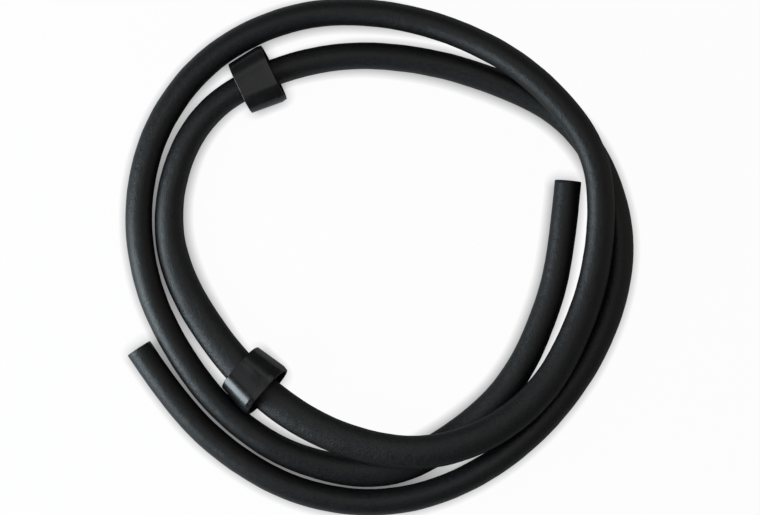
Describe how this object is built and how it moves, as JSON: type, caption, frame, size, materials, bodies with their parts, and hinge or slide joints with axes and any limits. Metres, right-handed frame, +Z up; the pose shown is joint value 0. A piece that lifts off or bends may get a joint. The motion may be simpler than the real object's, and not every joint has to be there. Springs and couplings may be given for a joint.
{
  "type": "soaker hose",
  "caption": "Loose flat coil of round porous rubber hose with plain cut ends and slide-on oval end rings that hold a folded hose end shut.",
  "frame": {"origin": "centre of the coil's box on the surface it lies on", "axes": "+Z up through the eye of the coil; +X and +Y across the coil, hose end A on the -X side"},
  "size_m": [0.306, 0.3108, 0.0326],
  "materials": {
    "hose_rubber": "satin",
    "ring_plastic": "gloss"
  },
  "bodies": {
    "hose": {"hose": "hose_rubber"},
    "end_ring_1": {"end_ring_1": "ring_plastic"},
    "end_ring_2": {"end_ring_2": "ring_plastic"}
  },
  "joints": [
    {"name": "ring_1_slide", "type": "hinge", "parent": "hose", "child": "end_ring_1", "pos_m": [-0.02652, 0.00881, -0.01754], "axis": [0.1072, -0.2347, 0.9661], "range_deg": [-7, 3]},
    {"name": "ring_2_slide", "type": "hinge", "parent": "hose", "child": "end_ring_2", "pos_m": [0.02549, 0.0338, 0.01534], "axis": [-0.0722, 0.0307, 0.9969], "range_deg": [-1, 12]}
  ]
}
